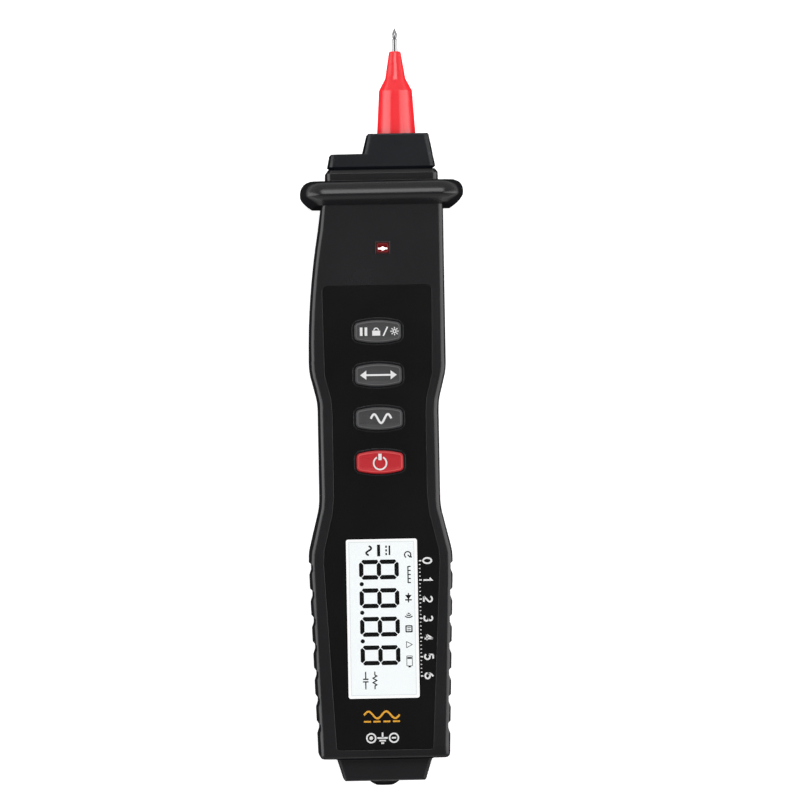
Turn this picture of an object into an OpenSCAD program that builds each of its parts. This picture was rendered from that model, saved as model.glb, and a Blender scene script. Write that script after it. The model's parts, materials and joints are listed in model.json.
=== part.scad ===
// Pen multimeter, lying on its back with its display up. All sizes are in millimetres.
// Modules draw with x across the meter from the body's long axis, y from the socket rim at the
// tail towards the probe tip, and z up from the table. placed() moves them to the part's frame.

/* [Body outline] */
// Height of the domed socket rim past the tail face
socket_rim = 1.4; // [1:0.1:2]
// Length of the narrow tail block
tail_length = 6.1; // [5.6:0.1:8]
// Half width of the tail block at its end
tail_half = 11.2; // [10:0.25:12]
// Half width of the tail block where it meets the grip
tail_root_half = 12.7; // [12.25:0.1:13.5]
// Length of the ribbed grip
grip_length = 55.7; // [54:0.1:60]
// Half width of the grip at the tail
grip_tail_half = 17.7; // [17.5:0.1:19]
// Half width of the grip at its widest
grip_half = 19.5; // [19:0.1:21]
// Length of the ramp from the grip down to the waist
grip_ramp = 13.1; // [11:0.1:16]
// Length of the waist
waist_length = 28.5; // [26:0.5:32]
// Half width of the waist
waist_half = 16.3; // [16.1:0.1:17.5]
// Length of the ramp from the waist out to the chest
chest_ramp = 8.4; // [7:0.1:11]
// Half width of the chest
chest_half = 18.5; // [18:0.1:20]
// Length of the chest up to the finger guard
chest_length = 44.4; // [43:0.2:50]
// How far the left side curves in below the guard
chest_drop = 3.9; // [3:0.1:4.2]
// Thickness of the body from the table to the display side
body_depth = 28; // [27.6:0.1:30]
// Height of the waist's back above the table
back_rise = 4.5; // [3.5:0.1:5]
// Wall thickness of the two shells
wall = 2; // [1.8:0.05:2.2]

/* [Head] */
// Sideways shift of the guard and nose from the body's axis
head_shift = 2.05; // [1.8:0.05:2.3]
// Length of the finger guard along the body
guard_thickness = 7.5; // [7:0.1:9]
// Half width of the finger guard
guard_half = 22.15; // [21.8:0.05:24]
// Height of the guard's front above the table
guard_depth = 31; // [30.8:0.1:33]
// Height of the collar between the guard and the nose
collar_height = 3.1; // [2.8:0.1:4]
// Half width of the collar
collar_half = 15.3; // [15.2:0.05:16]
// Height of the nose above the groove
nose_height = 9.7; // [9.6:0.1:11]
// Height of the nose's left shoulder above the groove
shoulder_height = 4.2; // [4.1:0.05:4.8]
// Offset of the probe from the body's axis
probe_x = 6.4; // [6.2:0.05:6.6]

/* [Probe] */
// Length of the red sleeve outside the nose
sleeve_length = 22.6; // [21:0.1:26]
// Radius of the sleeve where it leaves the nose
sleeve_r = 5.27; // [5:0.05:5.4]
// Radius of the sleeve at its tip
sleeve_tip_r = 1.62; // [1.5:0.02:1.9]
// Length of bare needle
needle_reach = 6.5; // [6:0.1:8]
// Radius of the bare needle
needle_r = 0.77; // [0.6:0.01:0.85]

/* [Front face] */
// Width of the display opening
window_width = 19.7; // [18:0.1:20]
// Length of the display opening
window_length = 43.7; // [42:0.2:44.4]
// Distance from the bottom of the face panel to the display opening
window_margin = 13.75; // [13:0.05:14.2]
// Width of a key cap
key_width = 12.8; // [11.5:0.1:13.4]
// Length of a key cap along the body
key_height = 6.4; // [5.8:0.1:6.8]
// Distance from one key to the next
key_pitch = 11.87; // [11.4:0.05:12.2]
// Distance from the display opening to the centre of the power key
key_start = 20.8; // [20.6:0.1:21.6]
// Height of the key caps above the shell
key_stand = 0.9; // [0.7:0.05:1.2]
// Distance from the edge of the body to the face panel
panel_margin = 3.7; // [3.5:0.05:4]

/* [Socket and battery] */
// Radius of the bore that takes a 4 mm test lead plug
socket_bore_r = 2.05; // [2.02:0.01:2.1]
// Depth of the socket bore
socket_depth = 18; // [16:0.1:18]
// Outer radius of the socket's collar
socket_collar_r = 4.05; // [3.9:0.05:4.2]
// Radius of a battery cell
cell_r = 5.2; // [5:0.05:5.25]
// Length of a battery cell with its button
cell_length = 44.5; // [43.5:0.1:44.6]
// Thickness of the battery cover
cover_thickness = 2; // [1.8:0.05:2.1]

/* [Hidden] */
$fn = 48;

// Fits and overruns
over = 1;            // how far a cut runs past what it cuts
fit = 0.12;          // gap round pieces that drop into place
snug = 0.05;         // gap round pieces that are pushed home
slack = 0.3;         // gap round pieces that lie loose
seam = 0.22;         // depth of the groove where the shells meet
corner_steps = 4;    // flats on each rounded long edge
step_rise = 0.05;    // rise of a step's face along the body
key_travel = 0.5;    // how far a key goes down

// Places along the body
y_tail = socket_rim;
y_shoulder = y_tail + tail_length;
y_grip = y_shoulder + grip_length;
y_waist = y_grip + grip_ramp;
y_waist_top = y_waist + waist_length;
y_chest = y_waist_top + chest_ramp;
y_guard = y_chest + chest_length;
y_collar = y_guard + guard_thickness;
y_nose = y_collar + collar_height;
y_nose_top = y_nose + nose_height;
y_sleeve_top = y_nose_top + sleeve_length;
y_tip = y_sleeve_top + needle_reach;
overall_length = y_tip;

// Heights
parting_z = 17.5;
front_wall = 2.4;
front_in_z = body_depth - front_wall;
board_t = 1.6;
board_top = parting_z + board_t;

// Body sections
edge_front = 1.5;    // radius of the long edges on the display side
edge_back = 3;       // radius of the long edges on the back
corner_blend = 2.2;  // length over which the plan's corners are rounded
curve_lead = 3;      // straight stretch of the left side above the chest ramp
curve_foot = 1.5;    // straight stretch of the left side under the guard
tail_depth_half = 7.5;
tail_edge = 0.35;
tail_corner = 1;
tail_root = 0.8;     // fillet where the tail meets the shoulder
shoulder_edge = 1.1; // round on the grip's tail edge
cavity_corner = 1.5; // radius of the long edges inside the shells
blend_shares = [-1, -0.5, 0, 0.5, 1];
station_shares = [0, 0.05, 0.1, 0.18, 0.5, 0.82, 0.9, 0.95];
curve_steps = 9;

// Battery bay
cell_gap = 0.3;
bay_half = 2 * cell_r + cell_gap + slack;
bay_wall = 1.4;
contact_t = 0.4;
spring_room = 3.9;
lip_room = 3.1;       // from the tail wall's inside to the bay, for the cover's upturned end
tab_half = 1.6;
cell_x = cell_r + cell_gap / 2;
bay_length = cell_length + spring_room + 2 * contact_t;
bay_y0 = y_shoulder + wall + lip_room;
bay_y1 = bay_y0 + bay_length;
cell_z = cover_thickness + cell_gap + cell_r;
bay_top = cell_z + cell_r + slack;
rail_depth = 1;      // how far the cover's side tongues reach under the shell
rail_t = 1;          // thickness of a tongue
cover_lap = 1.2;     // how far the cover reaches past the bay's end wall
cover_sink = 0.15;   // how far the cover's face lies above the table
cover_half = bay_half + bay_wall + 0.5 * wall;
recess_z = cover_thickness + fit;
plate_z = recess_z + bay_wall;
cover_end = bay_y1 + bay_wall + cover_lap;
lip_half = 7;        // half width of the cover's upturned end
lip_t = 2.4;
lip_top = 8;
y_back_flat = cover_end + wall;
back_ramp = 12.5;
y_back_up = y_back_flat + back_ramp;

// Screws and bosses
boss_r = 2.6;
screw_r = 1;
screw_hole_r = 1.25;
screw_head_r = 2.2;
screw_head_t = 1.8;
screw_seat_z = 8;
screw_bite = 5.5;    // how far a case screw reaches past the parting plane
cover_screw_z = 4.3;
cover_screw_head_t = 1.4;
cover_screw_end = 0.6; // plastic left between the cover screw and the bay
boss_merge = 0.3;
high_boss_drop = 9.6; // from the guard down to the upper screws

// Face panel
panel_start = 2.55;  // from the grip's tail edge to the panel
panel_above = 12.5;  // from the hold key's centre to the panel's top edge
panel_y0 = y_shoulder + panel_start;
window_y0 = panel_y0 + window_margin;
window_y1 = window_y0 + window_length;
power_y = window_y1 + key_start;
hold_y = power_y + 3 * key_pitch;
panel_y1 = hold_y + panel_above;
low_boss_y = (window_y1 + power_y) / 2;
high_boss_y = y_guard - high_boss_drop;
panel_tail_extra = 1; // extra margin of the panel at the tail
panel_t = 0.5;
panel_sink = 0.15;
recess_floor = body_depth - panel_sink - panel_t;
panel_top_r = 1.7;
panel_low_r = 0.8;
key_rim = 0.65;      // width of the raised rim round a key

// Display
window_r = 0.8;
lens_t = 1;
lens_lap = 1.2;      // how far the lens reaches past the opening
glass_t = 2.3;
glass_lap = 2.6;
glass_clear = 0.2;   // between the glass and the front shell
backlight_t = front_in_z - glass_clear - glass_t - board_top;
glass_z = board_top + backlight_t;
backlight_inset = 2.2;
frame_wall = 0.8;

// Head
guard_round = 3.4;
guard_round_z = 2.6;
guard_corner = 6.5;
// The guard's rounding up its height: share of the height, of guard_round and of guard_round_z.
guard_shares = [[0, 0.95, 1], [0.09, 0.67, 0.74], [0.18, 0.43, 0.47], [0.27, 0.24, 0.23],
                [0.36, 0.1, 0.05], [0.42, 0.04, 0], [0.47, 0.02, 0.01], [0.55, 0, 0.05],
                [0.63, 0.01, 0.12], [0.72, 0.05, 0.23], [0.8, 0.12, 0.36], [0.87, 0.22, 0.5],
                [0.94, 0.42, 0.67], [1, 0.77, 0.92]];
guard_lift = 1;      // the guard's lower edge climbs this much towards the display side
collar_depth_half = 8.4;
collar_corner = 1.6;
groove_depth = 0.75;
groove_height = 1;
spigot_wall = 1.3;
spigot_half = 12.5;
spigot_depth_half = 6.3;
spigot_length = 2.5;
nose_base_half = collar_half - 0.65;
nose_depth_half = 8.1;
nose_right_taper = 1.7;
nose_left_taper = 1.7;
nose_depth_taper = 0.4;
nose_edge = 0.25;
block_half = 8.1;    // from the probe's axis to the left side of the nose's top
block_taper = 1.3;

// Probe
sleeve_neck_r = 2.78;
sleeve_waist_r = 4.52;
sleeve_waist_share = 0.525;
sleeve_neck_share = 0.67;
sleeve_flange_r = 5.95;
sleeve_flange_t = 1.4;
sleeve_tail_r = 3.2;
sleeve_tail = 7.5;
needle_shank_r = 1.2;
needle_stop_r = 1.9;
needle_guide_t = 0.2;    // how much thicker the needle is inside the sleeve's tip
needle_guide_r = needle_r + needle_guide_t;
needle_guide_l = 3;      // length of that part
needle_guide_sink = 0.1; // how far inside the sleeve's mouth the bare needle starts
nose_wall = 2;

// Maps an extrusion's z to y, for pieces that lie along the body.
module along_y() { rotate([-90, 0, 0]) children(); }

// Moves everything to the part's frame: centred on the guard's width and the overall length.
module placed() { translate([-head_shift, -overall_length / 2, 0]) children(); }

module block(x0, x1, y0, y1, z0, z1) {
    translate([x0, y0, z0]) cube([x1 - x0, y1 - y0, z1 - z0]);
}

// Average of a table over a short stretch, which rounds its corners.
function smooth(y, table) =
    let (v = [for (s = blend_shares) lookup(y + s * corner_blend, table)])
    (v[0] + 2 * v[1] + 2 * v[2] + 2 * v[3] + v[4]) / 8;

side_table = [[y_shoulder, grip_tail_half], [y_grip, grip_half], [y_waist, waist_half],
              [y_waist_top, waist_half], [y_chest, chest_half], [y_guard, chest_half]];
back_table = [[y_shoulder, 0], [y_back_flat, 0], [y_back_up, back_rise], [y_guard, back_rise]];
y_curve = y_chest + curve_lead;
curve_length = y_guard - curve_foot - y_curve;
curve_radius = (pow(curve_length, 2) + pow(chest_drop, 2)) / (2 * chest_drop);

function right_side(y) = smooth(y, side_table);
function curve_in(y) =
    y <= y_curve ? 0
    : curve_radius - sqrt(pow(curve_radius, 2) - pow(min(y - y_curve, curve_length), 2));
function left_side(y) = right_side(y) - curve_in(y);
function back_side(y) = max(0, smooth(y, back_table));

// A station is [y, left x, right x, back z, front z, front radius, back radius, lift].
function body_station(y) =
    [y, -left_side(y), right_side(y), back_side(y), body_depth, edge_front, edge_back, 0];
function centred(y, x, half, z_half, r) =
    [y, x - half, x + half, parting_z - z_half, parting_z + z_half, r, r, 0];
function between(ys, shares) =
    [for (i = [0 : len(ys) - 2]) for (s = shares) ys[i] + s * (ys[i + 1] - ys[i])];

tail_stations = concat(
    [centred(y_tail, 0, tail_half - tail_edge, tail_depth_half - tail_edge, tail_corner),
     centred(y_tail + tail_edge, 0, tail_half, tail_depth_half, tail_corner)],
    [for (a = [0, 45, 90]) centred(y_shoulder - step_rise - tail_root * (1 - sin(a)), 0,
        tail_root_half + tail_root * (1 - cos(a)), tail_depth_half + tail_root * (1 - cos(a)), tail_corner)]);
shoulder_stations = [for (a = [0, 30, 60])
    let (b = body_station(y_shoulder), d = shoulder_edge * (1 - sin(a)))
    [y_shoulder + shoulder_edge * (1 - cos(a)), b[1] + d, b[2] - d, b[3] + d, b[4] - d, b[5], b[6], 0]];
y_main = concat(
    between([y_shoulder + shoulder_edge, y_grip, y_waist, y_waist_top, y_chest, y_curve], station_shares),
    [for (i = [0 : curve_steps]) y_curve + i * curve_length / curve_steps]);
guard_stations = [for (s = guard_shares)
    let (d = s[1] * guard_round, dz = s[2] * guard_round_z)
    [y_guard + s[0] * guard_thickness, head_shift - guard_half + d, head_shift + guard_half - d, dz,
     guard_depth - dz, guard_corner - d, guard_corner - d, guard_lift * (1 - s[0])]];
body_top = [for (s = [body_station(y_guard)])
    [y_guard - step_rise, s[1], s[2], s[3], s[4], s[5], s[6], guard_lift]];
head_stations = [
    centred(y_collar + step_rise, head_shift, collar_half, collar_depth_half, collar_corner),
    centred(y_nose - groove_height, head_shift, collar_half - snug, collar_depth_half, collar_corner),
    centred(y_nose, head_shift, collar_half - groove_depth, collar_depth_half - groove_depth, collar_corner),
    centred(y_nose + step_rise, head_shift, spigot_half, spigot_depth_half, collar_corner),
    centred(y_nose + spigot_length, head_shift, spigot_half, spigot_depth_half, collar_corner)];
shell_stations = concat(tail_stations, shoulder_stations,
    [for (i = [0 : len(y_main) - 2]) body_station(y_main[i])], body_top, guard_stations, head_stations);

// The hollow inside both shells, from the tail wall to the open end of the spigot.
y_cavity = concat([y_shoulder + wall, y_shoulder + 2 * wall],
    between([y_grip - 2 * wall, y_waist + wall, y_waist_top - wall, y_chest + wall, y_guard - wall],
            [0, 0.25, 0.5, 0.75]), [y_guard - wall]);
cavity_stations = concat(
    [for (y = y_cavity) [y, -left_side(y) + wall, right_side(y) - wall, back_side(y) + wall,
                         front_in_z, cavity_corner, cavity_corner, 0]],
    [centred(y_guard + wall, head_shift, spigot_half - spigot_wall, spigot_depth_half - spigot_wall,
             cavity_corner),
     centred(y_nose + spigot_length + over, head_shift, spigot_half - spigot_wall,
             spigot_depth_half - spigot_wall, cavity_corner)]);

// Quarter of a section's outline, from angle q * 90.
function corner(s, q, r, n) =
    let (x = q == 0 || q == 3 ? s[2] - r : s[1] + r, z = q < 2 ? s[4] - r : s[3] + r)
    [for (i = [0 : n]) let (a = 90 * (q + i / n)) [x + r * cos(a), z + r * sin(a)]];
// The display side's half of a section, open at height cut, with a bevel of size bevel there.
function front_half(s, cut, bevel, n) = concat(
    bevel > 0 ? [[s[2] - bevel, cut]] : [], [[s[2], cut + bevel]],
    corner(s, 0, s[5], n), corner(s, 1, s[5], n),
    [[s[1], cut + bevel]], bevel > 0 ? [[s[1] + bevel, cut]] : []);
function back_half(s, cut, bevel, n) = concat(
    bevel > 0 ? [[s[1] + bevel, cut]] : [], [[s[1], cut - bevel]],
    corner(s, 2, s[6], n), corner(s, 3, s[6], n),
    [[s[2], cut - bevel]], bevel > 0 ? [[s[2] - bevel, cut]] : []);
function whole(s, n) = concat(corner(s, 0, s[5], n), corner(s, 1, s[5], n),
                              corner(s, 2, s[6], n), corner(s, 3, s[6], n));
// Puts an outline at its station, climbing by the station's lift on the display side.
function ring(s, outline) = [for (p = outline)
    [p[0], s[0] + s[7] * pow(max(0, (p[1] - parting_z) / (s[4] - parting_z)), 2), p[1]]];

// A solid through a list of rings, each running from +x to +z.
module loft(rings) {
    n = len(rings[0]);
    m = len(rings);
    points = [for (r = rings) for (p = r) p];
    sides = [for (i = [0 : m - 2]) for (j = [0 : n - 1])
        let (a = i * n + j, b = i * n + (j + 1) % n) each [[a, b, b + n], [a, b + n, a + n]]];
    start = [for (j = [1 : n - 2]) [0, j + 1, j]];
    end = [for (j = [1 : n - 2]) [(m - 1) * n, (m - 1) * n + j, (m - 1) * n + j + 1]];
    polyhedron(points = points, faces = concat(start, sides, end));
}

// Plan outline of the face panel, grown by g all round.
function panel_side(y, g) =
    right_side(y) - panel_margin + g
    - panel_tail_extra * max(0, (y_grip - y) / (y_grip - panel_y0));
y_panel = concat([panel_y0 + panel_low_r],
    [for (y = between([y_grip - 4 * corner_blend, y_waist, y_waist_top, y_chest],
                      [0.1, 0.3, 0.45, 0.6, 0.8, 0.9])) y],
    [panel_y1 - panel_top_r]);
function panel_outline(g) =
    let (top = panel_y1 + g, low = panel_y0 - g, rt = panel_top_r, rl = panel_low_r,
         wt = panel_side(panel_y1, g), wl = panel_side(panel_y0, g))
    concat(
        [for (a = [-90 : 30 : 0]) [wl - rl + rl * cos(a), low + rl + rl * sin(a)]],
        [for (i = [1 : len(y_panel) - 1]) [panel_side(y_panel[i], g), y_panel[i]]],
        [for (a = [15 : 15 : 90]) [wt - rt + rt * cos(a), top - rt + rt * sin(a)]],
        [for (a = [90 : 15 : 165]) [-wt + rt + rt * cos(a), top - rt + rt * sin(a)]],
        [for (i = [len(y_panel) - 1 : -1 : 1]) [-panel_side(y_panel[i], g), y_panel[i]]],
        [for (a = [180 : 30 : 270]) [-wl + rl + rl * cos(a), low + rl + rl * sin(a)]]);

// A rectangle with rounded corners, centred on x = 0 and on y.
function rounded(w, l, r, y) = [for (q = [0 : 3]) for (i = [0 : 4])
    let (a = 90 * (q + i / 4), sx = q == 0 || q == 3 ? 1 : -1, sy = q < 2 ? 1 : -1)
    [sx * (w / 2 - r) + r * cos(a), y + sy * (l / 2 - r) + r * sin(a)]];

// Plan outline of a key: straight sides and bulging top and bottom edges, grown by g.
key_bulge = 0.6;
key_corner = 1.3;
function key_outline(g) =
    let (w = key_width / 2 + g, h = key_height / 2 + g, r = key_corner + g, b = key_bulge, x = w - r)
    [for (q = [0 : 3])
        let (sx = q == 0 || q == 3 ? 1 : -1, sy = q < 2 ? 1 : -1, arc = [0 : 22.5 : 90])
        each concat(
            [for (a = arc) [sx * x + r * cos(90 * q + a), sy * (h - b - r) + r * sin(90 * q + a)]],
            q % 2 == 0
                ? [for (t = [0.75 : -0.25 : -0.75]) [sx * t * x, sy * (h - b * t * t)]]
                : [])];

function key_y(i) = hold_y - i * key_pitch;
indicator_share = 0.485;
indicator_y = panel_y1 + indicator_share * (y_guard - panel_y1);
indicator_x = 1.8;
indicator_w = 3;
indicator_l = 2.35;
indicator_rim = 0.45;
indicator_rim_z = 0.25;

// A block round the indicator's place, grown by g.
module at_indicator(g, z0, z1) {
    block(indicator_x - indicator_w / 2 - g, indicator_x + indicator_w / 2 + g,
          indicator_y - indicator_l / 2 - g, indicator_y + indicator_l / 2 + g, z0, z1);
}
module prism(outline, z0, z1) { translate([0, 0, z0]) linear_extrude(z1 - z0) polygon(outline); }

module at_bosses() {
    low_x = waist_half - wall - boss_r + boss_merge;
    for (s = [-1, 1]) translate([s * low_x, low_boss_y, 0]) children();
    translate([-(left_side(high_boss_y) - wall - boss_r + boss_merge), high_boss_y, 0]) children();
    translate([right_side(high_boss_y) - wall - boss_r + boss_merge, high_boss_y, 0]) children();
}

// Ratchet-shaped finger grooves down both sides of the grip.
groove_count = 7;
groove_pitch = 7.25;
groove_deep = 0.6;
groove_step = 0.6;
groove_flat = 2;
groove_run = 3.5;
groove_start = 2.2;  // from the grip's end down to the first groove
module grip_grooves(z0, z1) {
    for (i = [0 : groove_count - 1], s = [-1, 1]) {
        y = y_grip - groove_start - i * groove_pitch;
        x = right_side(y - groove_flat);
        lean = (grip_half - grip_tail_half) / grip_length;
        prism([[s * (x + over), y], [s * (x + lean * groove_flat), y],
               [s * (x - groove_deep), y - groove_step],
               [s * (x - groove_deep), y - groove_flat],
               [s * (x - lean * (groove_run - groove_flat)), y - groove_run],
               [s * (x + over), y - groove_run]],
              z0, z1);
    }
}

collar_flange_r = 5;
collar_flange_t = 1.5;
module socket_hole() {
    translate([0, y_tail - over, parting_z]) along_y()
        cylinder(r = socket_collar_r + snug, h = tail_length + wall + 2 * over);
}

clamp_rib_t = 1.2;
clamp_rib_half = 6;
module front_shell() color([0.16, 0.16, 0.17]) {
    difference() {
        union() {
            loft([for (s = shell_stations) ring(s, front_half(s, parting_z, seam, corner_steps))]);
            at_indicator(indicator_rim, body_depth - wall, body_depth + indicator_rim_z);
        }
        difference() {
            loft([for (s = cavity_stations) ring(s, front_half(s, parting_z - over, 0, 2))]);
            at_bosses() cylinder(r = boss_r, h = body_depth);
            for (y = [low_boss_y + boss_r, (hold_y + panel_y1) / 2])
                block(-clamp_rib_half, clamp_rib_half, y - clamp_rib_t / 2, y + clamp_rib_t / 2,
                      board_top + fit, body_depth);
        }
        difference() {
            prism(panel_outline(fit), recess_floor, body_depth + over);
            for (i = [0 : 3]) translate([0, key_y(i), 0])
                prism(key_outline(key_rim), recess_floor - over, body_depth);
        }
        prism(rounded(window_width + 2 * (lens_lap + fit), window_length + 2 * (lens_lap + fit), window_r,
                      (window_y0 + window_y1) / 2), recess_floor - lens_t, recess_floor + over);
        prism(rounded(window_width, window_length, window_r, (window_y0 + window_y1) / 2),
              front_in_z - over, recess_floor);
        for (i = [0 : 3]) translate([0, key_y(i), 0])
            prism(key_outline(fit), front_in_z - over, body_depth + over);
        at_indicator(snug, front_in_z - over, body_depth + over);
        at_bosses() translate([0, 0, parting_z - over])
            cylinder(r = screw_r + snug, h = screw_bite + 2 * over);
        socket_hole();
        grip_grooves(parting_z - over, body_depth + over);
    }
}

rib_t = 1.2;
bay_rib_shares = [0.33, 0.85];
board_start = 12.7;  // from the grip's tail edge to the board
board_stop = 1.6;    // from the board to the guard
board_y0 = y_shoulder + board_start;
board_y1 = y_guard - board_stop;
module rear_shell() color([0.15, 0.15, 0.16]) {
    difference() {
        loft([for (s = shell_stations) ring(s, back_half(s, parting_z, seam, corner_steps))]);
        difference() {
            loft([for (s = cavity_stations) ring(s, back_half(s, parting_z + over, 0, 2))]);
            block(-bay_half - bay_wall, bay_half + bay_wall, bay_y0 - bay_wall, bay_y1 + bay_wall,
                  0, bay_top + bay_wall);
            block(-grip_half, grip_half, y_shoulder, cover_end + wall, 0, plate_z);
            block(-lip_half - wall, lip_half + wall, y_shoulder, bay_y0, 0, lip_top + bay_wall);
            at_bosses() cylinder(r = boss_r, h = body_depth);
            for (y = rib_ys)
                block(-clamp_rib_half, clamp_rib_half, y - rib_t / 2, y + rib_t / 2, 0, body_depth);
        }
        block(-bay_half, bay_half, bay_y0, bay_y1, 0, bay_top);
        block(-cover_half - fit, cover_half + fit, y_shoulder - over, cover_end + fit,
              -over, recess_z - rail_t);
        block(-cover_half - rail_depth - fit, cover_half + rail_depth + fit, y_shoulder - over,
              cover_end + fit, recess_z - rail_t - fit, recess_z);
        block(-lip_half - fit, lip_half + fit, y_shoulder - over, y_shoulder + lip_t + fit,
              -over, lip_top + fit);
        translate([0, y_shoulder, cover_screw_z]) along_y()
            cylinder(r = screw_r + snug, h = bay_y0 - cover_screw_end - y_shoulder);
        for (s = [-1, 1]) translate([s * cell_x, 0, 0])
            block(-tab_half - fit, tab_half + fit, bay_y1 - contact_t - fit, bay_y1 + fit,
                  bay_top - over, bay_top + bay_wall + over);
        at_bosses() {
            translate([0, 0, -over]) cylinder(r = screw_head_r + fit, h = screw_seat_z + over);
            cylinder(r = screw_hole_r, h = parting_z + over);
        }
        socket_hole();
        grip_grooves(-over, parting_z + over);
    }
}

// Nose cap, with the probe's sleeve held behind its end wall.
nose_r = 1.6;
nose_lip = 0.75;     // height of the groove's upper slope
y_nose_low = y_nose + nose_lip;
y_step = y_nose + shoulder_height;
nose_rise = y_nose_top - y_nose_low;
function nose_share(y) = (y - y_nose_low) / nose_rise;
function nose_right(y) = head_shift + nose_base_half - nose_right_taper * nose_share(y);
function nose_left(y) = head_shift - nose_base_half + nose_left_taper * nose_share(y);
function block_left(y) = probe_x - block_half - block_taper * (y_nose_top - y) / (y_nose_top - y_step);
function nose_depth(y) = nose_depth_half - nose_depth_taper * nose_share(y);
function nose_station(y, left, right, d, r) =
    [y, left, right, parting_z - nose_depth(y) + d, parting_z + nose_depth(y) - d, r, r, 0];
nose_stations = [
    nose_station(y_nose + step_rise, nose_left(y_nose_low) + groove_depth,
                 nose_right(y_nose_low) - groove_depth, groove_depth, nose_r),
    nose_station(y_nose_low, nose_left(y_nose_low), nose_right(y_nose_low), 0, nose_r),
    nose_station(y_step - nose_edge, nose_left(y_step), nose_right(y_step), 0, nose_r),
    nose_station(y_step, nose_left(y_step) + nose_edge, nose_right(y_step), 0, nose_r),
    nose_station(y_step + step_rise, block_left(y_step), nose_right(y_step), 0, nose_r),
    nose_station(y_nose_top - nose_edge, block_left(y_nose_top), nose_right(y_nose_top), 0, nose_r),
    nose_station(y_nose_top, block_left(y_nose_top) + nose_edge, nose_right(y_nose_top) - nose_edge,
                 nose_edge, nose_r - nose_edge)];
module nose_cap() color([0.15, 0.15, 0.16]) difference() {
    loft([for (s = nose_stations) ring(s, whole(s, corner_steps))]);
    block(head_shift - spigot_half - fit, head_shift + spigot_half + fit, y_nose - over,
          y_nose + spigot_length + fit, parting_z - spigot_depth_half - fit,
          parting_z + spigot_depth_half + fit);
    translate([probe_x, y_nose - over, parting_z]) along_y()
        cylinder(r = sleeve_flange_r + fit, h = nose_height - nose_wall + over);
    translate([probe_x, y_nose, parting_z]) along_y()
        cylinder(r = sleeve_r + snug, h = nose_height + over);
}

module face_panel() color([0.1, 0.1, 0.1]) {
    difference() {
        prism(panel_outline(0), recess_floor, recess_floor + panel_t);
        for (i = [0 : 3]) translate([0, key_y(i), 0])
            prism(key_outline(key_rim + snug), recess_floor - over, body_depth);
        prism(rounded(window_width, window_length, window_r, (window_y0 + window_y1) / 2),
              recess_floor - over, body_depth);
    }
}

module display_window() color([0.75, 0.8, 0.85]) {
    prism(rounded(window_width + 2 * lens_lap, window_length + 2 * lens_lap, window_r,
                  (window_y0 + window_y1) / 2), recess_floor - lens_t, recess_floor);
}

lens_flange = 0.6;
module indicator_lens() color([0.6, 0.05, 0.05]) {
    at_indicator(0, front_in_z - snug, body_depth + indicator_rim_z / 2);
    at_indicator(lens_flange, front_in_z - snug - lens_flange, front_in_z - snug);
}

glass_half = window_width / 2 + glass_lap;
glass_y0 = window_y0 - glass_lap;
glass_y1 = window_y1 + glass_lap;
module lcd_glass() color([0.85, 0.92, 0.9]) {
    ledge_t = glass_t / 2;
    block(-glass_half, glass_half, glass_y0, glass_y1, glass_z, glass_z + ledge_t);
    block(-glass_half, glass_half, glass_y0 + glass_lap / 2, glass_y1 - glass_lap / 2,
          glass_z + ledge_t, glass_z + glass_t);
}
module lcd_backlight() color([0.95, 0.97, 1]) {
    x = glass_half - backlight_inset;
    block(-x, x, glass_y0, glass_y1, board_top, glass_z);
}
module zebra_strips() color([0.8, 0.6, 0.6]) {
    x = glass_half - backlight_inset + fit;
    for (s = [-1, 1]) translate([s * (x + glass_half) / 2, 0, 0])
        block(-(glass_half - x) / 2, (glass_half - x) / 2, glass_y0 + glass_lap, glass_y1 - glass_lap,
              board_top, glass_z);
}
module lcd_frame() color([0.2, 0.2, 0.22]) {
    x = glass_half + fit;
    difference() {
        block(-x - frame_wall, x + frame_wall, glass_y0 - fit - frame_wall, glass_y1 + fit + frame_wall,
              board_top, glass_z + glass_t);
        block(-x, x, glass_y0 - fit, glass_y1 + fit, board_top - over, body_depth);
    }
}

board_gap = 1;       // space between the board's edge and the shell
board_shares = [0, 0.15, 0.3, 0.36, 0.42, 0.5, 0.6, 0.65, 0.7, 0.78, 0.85, 0.92, 1];
module main_board() color([0.05, 0.3, 0.15]) {
    ys = [for (s = board_shares) board_y0 + s * (board_y1 - board_y0)];
    inset = wall + board_gap;
    difference() {
        prism(concat([for (y = ys) [right_side(y) - inset, y]],
                     [for (i = [len(ys) - 1 : -1 : 0]) [inset - left_side(ys[i]), ys[i]]]),
              parting_z, board_top);
        at_bosses() translate([0, 0, parting_z - over]) cylinder(r = boss_r + slack, h = board_t + 2 * over);
    }
}

chip_half = 5;
chip_t = 1.4;
chip_y_share = 0.7;
chip_legs = 8;
chip_leg_w = 0.4;
chip_leg_l = 1.2;
chip_stand = 0.15;
chip_y = board_y0 + chip_y_share * (board_y1 - board_y0);
module meter_chip() color([0.08, 0.08, 0.08]) translate([0, chip_y, parting_z]) {
    block(-chip_half, chip_half, -chip_half, chip_half, -chip_t - chip_stand, -chip_stand);
    for (q = [0 : 3], i = [0 : chip_legs - 1]) rotate([0, 0, 90 * q])
        translate([chip_half, (i - (chip_legs - 1) / 2) * chip_half * 2 / (chip_legs + 1), 0])
        block(-chip_leg_w, chip_leg_l, -chip_leg_w / 2, chip_leg_w / 2, -chip_leg_w - chip_stand, 0);
}

lead_r = 0.3;
resistor_r = 1.1;
resistor_l = 6;
resistor_pitch = 3.4;
resistor_count = 3;
resistor_rise = 17.5; // from the chip's centre to the first resistor
resistor_y = chip_y + resistor_rise;
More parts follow.
